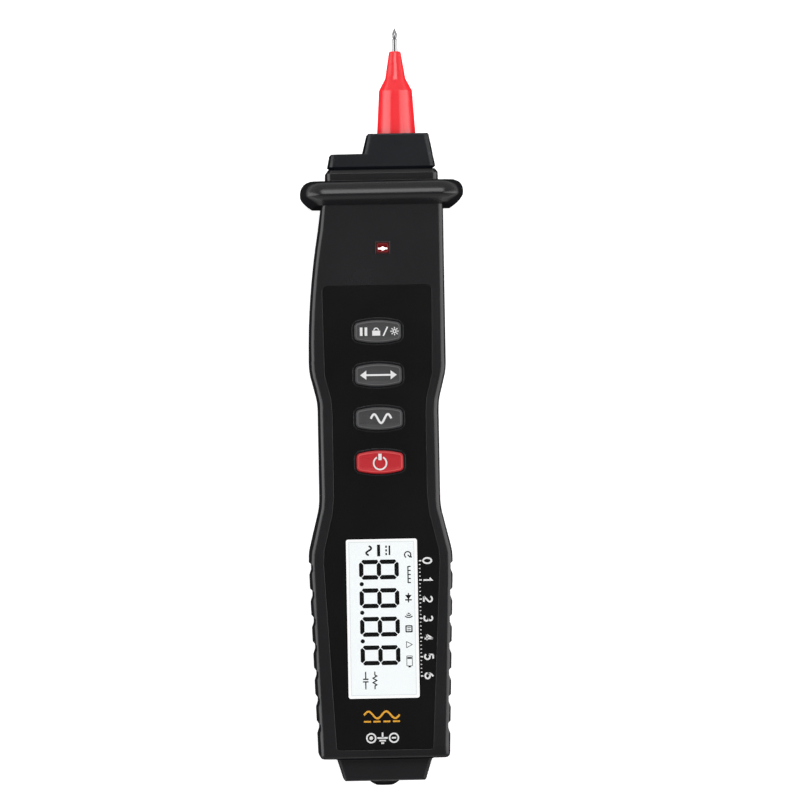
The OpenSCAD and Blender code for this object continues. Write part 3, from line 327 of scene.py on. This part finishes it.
def bar(x0, y0, x1, y1, width):
    """A straight stroke with square ends."""
    along = Vector((x1 - x0, y1 - y0)).normalized()
    side = Vector((-along.y, along.x)) * width / 2
    return [(x0 - side.x, y0 - side.y), (x1 - side.x, y1 - side.y),
            (x1 + side.x, y1 + side.y), (x0 + side.x, y0 + side.y)]


def oblong(half_x, half_y, width):
    """The four sides of an upright oblong, as bars."""
    return [bar(-half_x, half_y, half_x, half_y, width), bar(-half_x, -half_y, half_x, -half_y, width),
            bar(-half_x, -half_y, -half_x, half_y, width), bar(half_x, -half_y, half_x, half_y, width)]


def stroke(points, width):
    """A band of one width along a line of points, mitred at its corners."""
    left, right = [], []
    for i, (x, y) in enumerate(points):
        before = Vector(points[max(i - 1, 0)])
        after = Vector(points[min(i + 1, len(points) - 1)])
        here = Vector((x, y))
        first = (here - before) if i else (after - here)
        last = (after - here) if i < len(points) - 1 else (here - before)
        along = (first.normalized() + last.normalized()).normalized()
        side = Vector((-along.y, along.x))
        reach = width / 2 / max(0.5, side.dot(Vector((-first.y, first.x)).normalized()))
        left.append((x + side.x * reach, y + side.y * reach))
        right.append((x - side.x * reach, y - side.y * reach))
    return right + list(reversed(left))


def oval(x, y, rx, ry, start, end, count=16):
    """Points along an ellipse, from start to end in degrees."""
    angles = [math.radians(start + (end - start) * i / count) for i in range(count + 1)]
    return [(x + rx * math.cos(a), y + ry * math.sin(a)) for a in angles]


def disc(x, y, r):
    return oval(x, y, r, r, 0, 360, 32)[:-1]


def arc(x, y, r, start, end, width, count=32):
    """Part of a ring, from start to end in degrees."""
    outer, inner = r + width / 2, r - width / 2
    return oval(x, y, outer, outer, start, end, count) + oval(x, y, inner, inner, end, start, count)


def sine(x, y, length, height, width, turns=1.0, count=32):
    points = [(x + length * (i / count - 0.5),
               y + height / 2 * math.sin(2 * math.pi * turns * i / count)) for i in range(count + 1)]
    return stroke(points, width)


def turned(outlines):
    """Turns marks so that their top points to +x, as the display is read."""
    return [[(y, -x) for x, y in outline] for outline in outlines]


# Marks on the keys

KEY_MARK_SINK = 0.15       # how far a mark reaches down, past the dip in the cap's top
CAP_EDGE = 0.58            # the painted highlight line's distance inside the cap's outline
CAP_EDGE_LINE = 0.2


def key_centre(name):
    low, high = (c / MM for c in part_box(name))
    return (low.x + high.x) / 2, (low.y + high.y) / 2


def key_mark(key, outlines):
    piece(key + "_mark", outlines, key_centre(key + "_button"), KEY_TOP - KEY_MARK_SINK,
          KEY_TOP + PRINT_THICKNESS, PRINT_WHITE, key + "_key")


# A lighter line painted just inside the cap's outline: a painted highlight on its rim.
def key_edge(key, mat):
    piece(key + "_edge", [stroke(cap_outline(CAP_EDGE), CAP_EDGE_LINE)], key_centre(key + "_button"),
          KEY_TOP - PRINT_SINK, KEY_TOP + PRINT_THICKNESS / 2, mat, key + "_key")


def cap_outline(inset):
    """The key cap's outline, drawn in by inset: a rounded oblong with bulging long sides."""
    low, high = (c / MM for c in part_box("hold_button"))
    w = (high.x - low.x) / 2 - KEY_FLANGE - inset
    h = (high.y - low.y) / 2 - KEY_FLANGE - inset
    r = KEY_CORNER - inset
    points = []
    for sx, sy, start in ((1, 1, 0), (-1, 1, 90), (-1, -1, 180), (1, -1, 270)):
        points += [(px + sx * (w - r), py + sy * (h - KEY_BULGE - r))
                   for px, py in oval(0, 0, r, r, start, start + 90, 6)]
        if sx == sy:
            shares = [k / 8 for k in range(6, -7, -1)]
            points += [(sx * k * (w - r), sy * (h - KEY_BULGE * k ** 2)) for k in shares]
    return points + points[:1]


def sun(x, y, r, width):
    """Eight rays round a small ring."""
    foot, ring = 0.58 * r, 0.36 * r
    rays = []
    for i in range(8):
        a = math.radians(45 * i)
        rays.append(bar(x + foot * math.cos(a), y + foot * math.sin(a),
                        x + r * math.cos(a), y + r * math.sin(a), width))
    return rays + [arc(x, y, ring, 0, 360, width)]


def key_marks():
    pause = [bar(x, -1.15, x, 1.15, 0.72) for x in (-4.5, -3.2)]
    slash = [bar(1.5, -1.25, 2.7, 1.25, 0.38)]
    lock = [bar(-1.5, -0.45, 0.7, -0.45, 1.35), arc(-0.4, 0.3, 0.62, 0, 180, 0.32, 16)]
    key_mark("hold", pause + slash + lock + sun(4.6, 0, 1.14, 0.26))
    tip, neck, spread = 5.0, 3.3, 1.25
    key_mark("select", [bar(-neck, 0, neck, 0, 0.5), [(-tip, 0), (-neck, -spread), (-neck, spread)],
                        [(tip, 0), (neck, spread), (neck, -spread)]])
    key_mark("hertz", [sine(0.5, 0, 5.6, 2.4, 0.58, 1.5, 48)])
    key_mark("power", [arc(0, -0.25, 1.75, 118, 422, 0.43, 48), bar(0, 0.55, 0, 2.3, 0.9)])
    for key in ("hold", "select", "hertz"):
        key_edge(key, GREY_KEY_HIGHLIGHT)
    key_edge("power", RED_KEY_HIGHLIGHT)


key_marks()


# Display: seven-segment digits and small pictograms, read from the meter's right side

LCD_X = AXIS_X - 0.75
DIGITS = 4
DIGIT_HEIGHT = 10.85
DIGIT_WIDTH = 5.4
DIGIT_PITCH = 7.79
DIGIT_STROKE = 1.2
DIGIT_GAP = 0.14           # half the gap between two segments
DIGIT_BEVEL = 1.0          # the cut across the digit's outer corners
FIRST_DIGIT_Y = WINDOW_Y + 13.35
POINT_RADIUS = 0.58
POINT_RISE = 0.65
SIGN_ABOVE_DIGIT = 5.2
ICON_X = AXIS_X + 7.15
ICON_LINE = 0.32
ICON_PLATE = 0.36          # bars of the diode and the capacitor
ICON_FINE = 0.18
UNIT_Y = WINDOW_Y - 16.85
BORDER_HALF = (8.85, 20.9)
BORDER_LINE = 0.22
MARGIN_OUT = 0.9           # the white margin's middle line, outside the border
MARGIN_LINE = 1.5


def digit():
    """All seven segments of one upright digit about its centre, mitred where they meet."""
    w, h, t, g, c = DIGIT_WIDTH / 2, DIGIT_HEIGHT / 2, DIGIT_STROKE, DIGIT_GAP, DIGIT_BEVEL
    top = [(-w + c, h), (-w + c / 2 + g, h - c / 2), (-w + t + g, h - t),
           (w - t - g, h - t), (w - c / 2 - g, h - c / 2), (w - c, h)]
    left = [(-w, h - c), (-w, g + t / 4), (-w + t / 2, g), (-w + t, t / 2 + g),
            (-w + t, h - t - g), (-w + c / 2, h - c / 2 - g)]
    middle = [(-w + t / 2 + g, 0), (-w + t + g, -t / 2), (w - t - g, -t / 2),
              (w - t / 2 - g, 0), (w - t - g, t / 2), (-w + t + g, t / 2)]
    upper = [top, left, [(-x, y) for x, y in reversed(left)]]
    return upper + [[(x, -y) for x, y in reversed(outline)] for outline in upper] + [middle]


def lcd_piece(name, outlines, x, y):
    piece(name, turned(outlines), (x, y), GLASS_TOP - PRINT_SINK, GLASS_TOP + PRINT_THICKNESS,
          LCD_INK, "housing")


def display():
    for i in range(DIGITS):
        lcd_piece(f"digit_{i + 1}", digit(), LCD_X, FIRST_DIGIT_Y - i * DIGIT_PITCH)
    point_x = LCD_X - DIGIT_HEIGHT / 2 + POINT_RISE
    for i in range(DIGITS - 1):
        lcd_piece(f"decimal_point_{i + 1}", [disc(0, 0, POINT_RADIUS)], point_x,
                  FIRST_DIGIT_Y - (i + 0.5) * DIGIT_PITCH)
    sign_y = FIRST_DIGIT_Y + SIGN_ABOVE_DIGIT
    lcd_piece("minus_sign", [bar(-1.6, 0, 1.6, 0, 0.85)], LCD_X, sign_y)
    lcd_piece("alternating_mark", [sine(0, 0, 2.6, 1.4, 0.5)], LCD_X - 2.7, sign_y)
    dashes = [bar(x, -0.45, x + 0.6, -0.45, 0.45) for x in (-1.3, -0.3, 0.7)]
    lcd_piece("direct_mark", [bar(-1.3, 0.45, 1.3, 0.45, 0.45)] + dashes, LCD_X + 2.5, sign_y)
    icons()
    half_x, half_y = BORDER_HALF
    piece("display_border", oblong(half_x, half_y, BORDER_LINE), (AXIS_X, WINDOW_Y),
          GLASS_TOP - PRINT_SINK, GLASS_TOP + PRINT_THICKNESS, LCD_FAINT, "housing")
    piece("display_margin", oblong(half_x + MARGIN_OUT, half_y + MARGIN_OUT, MARGIN_LINE),
          (AXIS_X, WINDOW_Y), GLASS_TOP - PRINT_SINK, GLASS_TOP + PRINT_THICKNESS / 2, LCD_EDGE,
          "housing")


def icons():
    timer = [arc(0, 0, 0.85, 60, 330, ICON_LINE), bar(0, 0, 0.75, 0.75, ICON_LINE),
             [(0.1, 0.95), (0.75, 0.45), (0.8, 1.2)]]
    teeth = [bar(x, 0, x, 0.75, ICON_LINE) for x in (-2.2, -1.1, 0, 1.1, 2.2)]
    ranges = [bar(-2.3, 0, 2.3, 0, ICON_LINE)] + teeth
    diode = [bar(-1.3, 0, 1.3, 0, ICON_LINE), [(-0.75, -0.9), (0.5, 0), (-0.75, 0.9)],
             bar(0.6, -0.9, 0.6, 0.9, ICON_PLATE)]
    sound = [arc(-0.8, 0, r, -42, 42, 0.3, 12) for r in (0.4, 0.95, 1.5)]
    held = ([bar(-0.9, y, 0.9, y, 0.35) for y in (0.8, -0.8)]
            + [bar(x, -0.8, x, 0.8, 0.35) for x in (-0.8, 0.8)]
            + [bar(x, -0.45, x, 0.45, 0.25) for x in (-0.28, 0.28)])
    delta = [bar(-0.85, -0.75, 0.85, -0.75, ICON_FINE), bar(-0.85, -0.75, 0, 0.85, ICON_FINE),
             bar(0, 0.85, 0.85, -0.75, ICON_FINE)]
    cell = ([bar(-1.5, y, 1.2, y, ICON_FINE) for y in (0.75, -0.75)]
            + [bar(x, -0.75, x, 0.75, ICON_FINE) for x in (-1.5, 1.2)]
            + [bar(1.45, -0.35, 1.45, 0.35, 0.35), bar(-1.2, 0, -0.7, 0, 1.2)])
    # Each with its place along the display, from the window's middle.
    column = {"timer_icon": (timer, 17.25), "range_icon": (ranges, 11.85), "diode_icon": (diode, 5.55),
              "sound_icon": (sound, 0.85), "hold_icon": (held, -2.95), "delta_icon": (delta, -7.25),
              "battery_icon": (cell, -11.85)}
    for name, (outlines, y) in column.items():
        lcd_piece(name, outlines, ICON_X, WINDOW_Y + y)
    zigzag = [(-2.4, 0), (-1.5, 0), (-1.2, 0.5), (-0.6, -0.5), (0, 0.5), (0.6, -0.5), (1.2, 0.5),
              (1.5, 0), (2.4, 0)]
    lcd_piece("resistance_icon", [stroke(zigzag, ICON_LINE)], LCD_X - 1.65, UNIT_Y)
    wires = [bar(-2.4, 0, -0.35, 0, ICON_LINE), bar(2.4, 0, 0.35, 0, ICON_LINE)]
    plates = [bar(x, -0.75, x, 0.75, ICON_PLATE) for x in (-0.35, 0.35)]
    lcd_piece("capacitance_icon", wires + plates, LCD_X - 4.15, UNIT_Y)


display()


# Marks on the face panel

SCALE_X = 11.75            # places from the window's middle
SCALE_Y = -0.1
SCALE_LENGTH = 31.4
SCALE_STEPS = 6
FINE_STEPS = 5
SCALE_FOOT = -1.65         # the lower end of its lines
LONG_LINE = (0.7, 0.36)    # length and width
SHORT_LINE = (0.4, 0.24)
FIGURE_SIZE = (2.25, 1.45, 0.46)    # height, width and line
FIGURE_RISE = 0.65
WAVE_PLACE = (-0.75, -26.75)
SOCKET_PLACE = (-0.65, -32.5)
SHADOW_LINE_WIDTH = 0.32


def panel_piece(name, outlines, x, y, mat=PRINT_WHITE):
    piece(name, outlines, (AXIS_X + x, WINDOW_Y + y), PANEL_TOP - PRINT_SINK,
          PANEL_TOP + PRINT_THICKNESS, mat, "housing")


def numeral(figure, height, width, line):
    """One plain upright figure about its centre."""
    h, w = height / 2, width / 2
    lines = {
        0: [oval(0, 0, w, h, 90, 450, 28)],
        1: [[(-0.7 * w, 0.5 * h), (0.1 * w, h), (0.1 * w, -h)]],
        2: [oval(0, 0.45 * h, w, 0.55 * h, 160, -35) + [(-w, -h)], [(-w, -h), (w, -h)]],
        3: [oval(0, 0.5 * h, 0.85 * w, 0.5 * h, 150, -90), oval(0, -0.5 * h, w, 0.5 * h, 90, -150)],
        4: [[(0.4 * w, -h), (0.4 * w, h)], [(0.4 * w, h), (-w, -0.4 * h)],
            [(-w, -0.4 * h), (w, -0.4 * h)]],
        5: [[(0.8 * w, h), (-0.7 * w, h)], [(-0.7 * w, h), (-0.8 * w, 0)],
            oval(0, -0.38 * h, w, 0.62 * h, 140, -150)],
        6: [oval(0, -0.42 * h, w, 0.58 * h, 90, 450, 28),
            oval(0.9 * w, -0.42 * h, 1.9 * w, 1.42 * h, 180, 110)],
    }
    return [stroke(points, line) for points in lines[figure]]


def scale_line(x, size):
    length, width = size
    return bar(x, SCALE_FOOT, x, SCALE_FOOT + length, width)


def side_scale():
    """Figures 0 to 6 over a ruled edge, where the photo's side lettering is."""
    outlines = []
    for i in range(SCALE_STEPS + 1):
        x = (i / SCALE_STEPS - 0.5) * SCALE_LENGTH
        outlines += [[(px + x, py + FIGURE_RISE) for px, py in outline]
                     for outline in numeral(i, *FIGURE_SIZE)]
        outlines.append(scale_line(x, LONG_LINE))
        if i < SCALE_STEPS:
            outlines += [scale_line(x + k * SCALE_LENGTH / SCALE_STEPS / FINE_STEPS, SHORT_LINE)
                         for k in range(1, FINE_STEPS)]
    return turned(outlines)


def window_ring():
    """The path along the panel's opening over the display, where the painted shadow line runs."""
    half_x = (WINDOW_HIGH.x - WINDOW_LOW.x) / 2 - WINDOW_LAP
    half_y = (WINDOW_HIGH.y - WINDOW_LOW.y) / 2 - WINDOW_LAP
    r = WINDOW_CORNER
    ring = [(px + sx * (half_x - r), py + sy * (half_y - r))
            for sx, sy, start in ((1, 1, 0), (-1, 1, 90), (-1, -1, 180), (1, -1, 270))
            for px, py in oval(0, 0, r, r, start, start + 90, 6)]
    return ring + ring[:1]


def panel_marks():
    panel_piece("side_scale", side_scale(), SCALE_X, SCALE_Y)
    dashes = [bar(x, -1.25, x + 1.9, -1.25, 0.46) for x in (-4.9, -2.3, 0.4, 3.0)]
    panel_piece("wave_mark", [sine(0, 0.55, 9.7, 1.9, 0.52, 2, 64)] + dashes, *WAVE_PLACE, PRINT_AMBER)
    socket = [arc(-3.1, 0, 1.2, 0, 360, 0.42), disc(-3.1, 0, 0.5)]
    ground = [bar(0, 0, 0, 1.5, 0.45), bar(-1.4, 0, 1.4, 0, 0.45), bar(-0.9, -0.72, 0.9, -0.72, 0.42),
              bar(-0.4, -1.4, 0.4, -1.4, 0.42)]
    minus = [arc(3.1, 0, 1.2, 0, 360, 0.42), bar(2.5, 0, 3.7, 0, 0.42)]
    panel_piece("socket_mark", socket + ground + minus, *SOCKET_PLACE)
    # Painted shadow: a black line round the opening, where the panel's edge shades the window.
    panel_piece("window_shadow_line", [stroke(window_ring(), SHADOW_LINE_WIDTH)], 0, 0, SHADOW_LINE_BLACK)


panel_marks()


# Indicator: the lamp's bright core, a painted highlight line inside its red lens's edge, and a dark red
# painted shade line round it

LENS_MARK_SINK = 0.06      # how far these marks reach down from the top of the glow
EDGE_IN = 0.1              # the painted highlight line's distance inside the lens's outline
SHADE_LINE_OUT = 0.32            # the painted shade line's distance outside the highlight line


def indicator_marks():
    low, high = (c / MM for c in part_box("indicator_lens"))
    centre = ((low.x + high.x) / 2, (low.y + high.y) / 2)
    top = high.z + PRINT_THICKNESS
    base = top - LENS_MARK_SINK
    piece("indicator_glow", [disc(0, -0.2, 0.52), bar(-1.25, -0.2, 1.25, -0.2, 0.4)], centre, base, top,
          LED_CORE, "housing")
    half_x = (high.x - low.x) / 2 - LENS_FLANGE - EDGE_IN
    half_y = (high.y - low.y) / 2 - LENS_FLANGE - EDGE_IN
    # A lighter red line painted just inside the lens's outline: a painted highlight on its edge.
    piece("indicator_edge_highlight", oblong(half_x, half_y, 0.2), centre, base, top - PRINT_THICKNESS / 2,
          LENS_HIGHLIGHT, "housing")
    # A dark red line painted on the shell's raised rim round the lens: painted shade in the gap there.
    rim = high.z + RIM_ABOVE_LENS
    piece("indicator_rim_shade", oblong(half_x + SHADE_LINE_OUT, half_y + SHADE_LINE_OUT, 0.34), centre,
          rim - PRINT_SINK, rim + PRINT_THICKNESS / 2, LENS_RIM_SHADE, "housing")


indicator_marks()


# Studio: floor, world, lamps and camera

FLOOR_HALF = 2.0           # metres
FLOOR_DROP = 0.05          # millimetres under the part's lowest face
FLOOR_GLOW = 0.75          # emission strength


def floor():
    """White paper under the object's shadow; its glow is seen, mirrored too, but lights nothing."""
    mesh = bpy.data.meshes.new("floor")
    h, z = FLOOR_HALF, -FLOOR_DROP * MM
    mesh.from_pydata([(-h, -h, z), (h, -h, z), (h, h, z), (-h, h, z)], [], [(0, 1, 2, 3)])
    obj = bpy.data.objects.new("floor", mesh)
    bpy.context.scene.collection.objects.link(obj)
    mat, nodes, links, shader = new_material("floor_paper")
    shader.inputs["Base Color"].default_value = (0.8, 0.8, 0.8, 1)
    shader.inputs["Roughness"].default_value = 0.9
    shader.inputs["Specular IOR Level"].default_value = 0.1
    shader.inputs["Emission Color"].default_value = (1, 1, 1, 1)
    path = nodes.new("ShaderNodeLightPath")
    first = add_node(nodes, "ShaderNodeMath", operation="MAXIMUM")
    second = add_node(nodes, "ShaderNodeMath", operation="MAXIMUM")
    glow = add_node(nodes, "ShaderNodeMath", operation="MULTIPLY")
    glow.inputs[1].default_value = FLOOR_GLOW
    links.new(path.outputs["Is Camera Ray"], first.inputs[0])
    links.new(path.outputs["Is Glossy Ray"], first.inputs[1])
    links.new(first.outputs[0], second.inputs[0])
    links.new(path.outputs["Is Transmission Ray"], second.inputs[1])
    links.new(second.outputs[0], glow.inputs[0])
    links.new(glow.outputs[0], shader.inputs["Emission Strength"])
    mesh.materials.append(mat)


def world():
    """Soft surroundings, brighter towards the horizon; white where the camera sees them."""
    made = bpy.data.worlds.new("studio")
    bpy.context.scene.world = made
    made.use_nodes = True
    nodes, links = made.node_tree.nodes, made.node_tree.links
    back = nodes["Background"]
    place = nodes.new("ShaderNodeTexCoord")
    split = nodes.new("ShaderNodeSeparateXYZ")
    ramp = nodes.new("ShaderNodeValToRGB")
    horizon, overhead = ramp.color_ramp.elements
    horizon.position, overhead.position = 0.35, 0.85
    horizon.color = (0.5, 0.5, 0.5, 1)
    overhead.color = (0.12, 0.12, 0.12, 1)
    path = nodes.new("ShaderNodeLightPath")
    mix = nodes.new("ShaderNodeMix")
    mix.data_type = "RGBA"
    mix.inputs["B"].default_value = (1, 1, 1, 1)
    links.new(place.outputs["Generated"], split.inputs[0])
    links.new(split.outputs["Z"], ramp.inputs["Fac"])
    links.new(path.outputs["Is Camera Ray"], mix.inputs["Factor"])
    links.new(ramp.outputs["Color"], mix.inputs["A"])
    links.new(mix.outputs["Result"], back.inputs["Color"])


# What the camera and the lamps point at: the spot in the picture's middle, at the height of the
# parting line, where the body is widest.
AIM = Vector((4.04, 1.63, 17.5)) * MM


def lamp(name, across, along, distance, width, length, radiance):
    """A soft box seen from the aim point at so many degrees from overhead, across and along."""
    data = bpy.data.lights.new(name, "AREA")
    data.shape = "RECTANGLE"
    data.size = width
    data.size_y = length
    data.energy = radiance * math.pi * width * length
    obj = bpy.data.objects.new(name, data)
    a, b = math.radians(across), math.radians(along)
    direction = Vector((math.sin(a), math.sin(b), math.cos(a) * math.cos(b))).normalized()
    obj.location = AIM + direction * distance
    obj.rotation_euler = direction.to_track_quat("Z", "Y").to_euler()
    bpy.context.scene.collection.objects.link(obj)


PICTURE_WIDTH = 800        # pixels
PIXEL = 0.2736             # millimetres
CAMERA_DISTANCE = 2.5      # metres
CAMERA_YAW = math.radians(1.75)
CAMERA_ROLL = math.radians(1.05)
SENSOR = 36                # millimetres


def camera():
    """Near-orthographic view from straight above, a little to the left and rolled as in the photo."""
    data = bpy.data.cameras.new("camera")
    data.sensor_width = SENSOR
    data.lens = SENSOR * CAMERA_DISTANCE / (PICTURE_WIDTH * PIXEL * MM)
    data.clip_start = 0.1
    data.clip_end = 10
    obj = bpy.data.objects.new("camera", data)
    back = Vector((-math.sin(CAMERA_YAW), 0, math.cos(CAMERA_YAW)))
    up = Vector((math.sin(CAMERA_ROLL), math.cos(CAMERA_ROLL), 0))
    up = (up - back * up.dot(back)).normalized()
    right = up.cross(back)
    obj.location = AIM + back * CAMERA_DISTANCE
    obj.rotation_euler = Matrix((right, up, back)).transposed().to_euler()
    bpy.context.scene.collection.objects.link(obj)
    bpy.context.scene.camera = obj


floor()
world()
# The side boxes draw the light lines down the long edges, the head strip the one on the guard.
lamp("left_box", across=-71, along=0, distance=0.9, width=0.68, length=1.2, radiance=2.3)
lamp("right_box", across=55, along=0, distance=0.9, width=0.55, length=1.2, radiance=2.3)
lamp("head_strip", across=0, along=34, distance=1.2, width=0.8, length=0.56, radiance=3.7)
camera()
bpy.context.scene.view_settings.view_transform = "Standard"
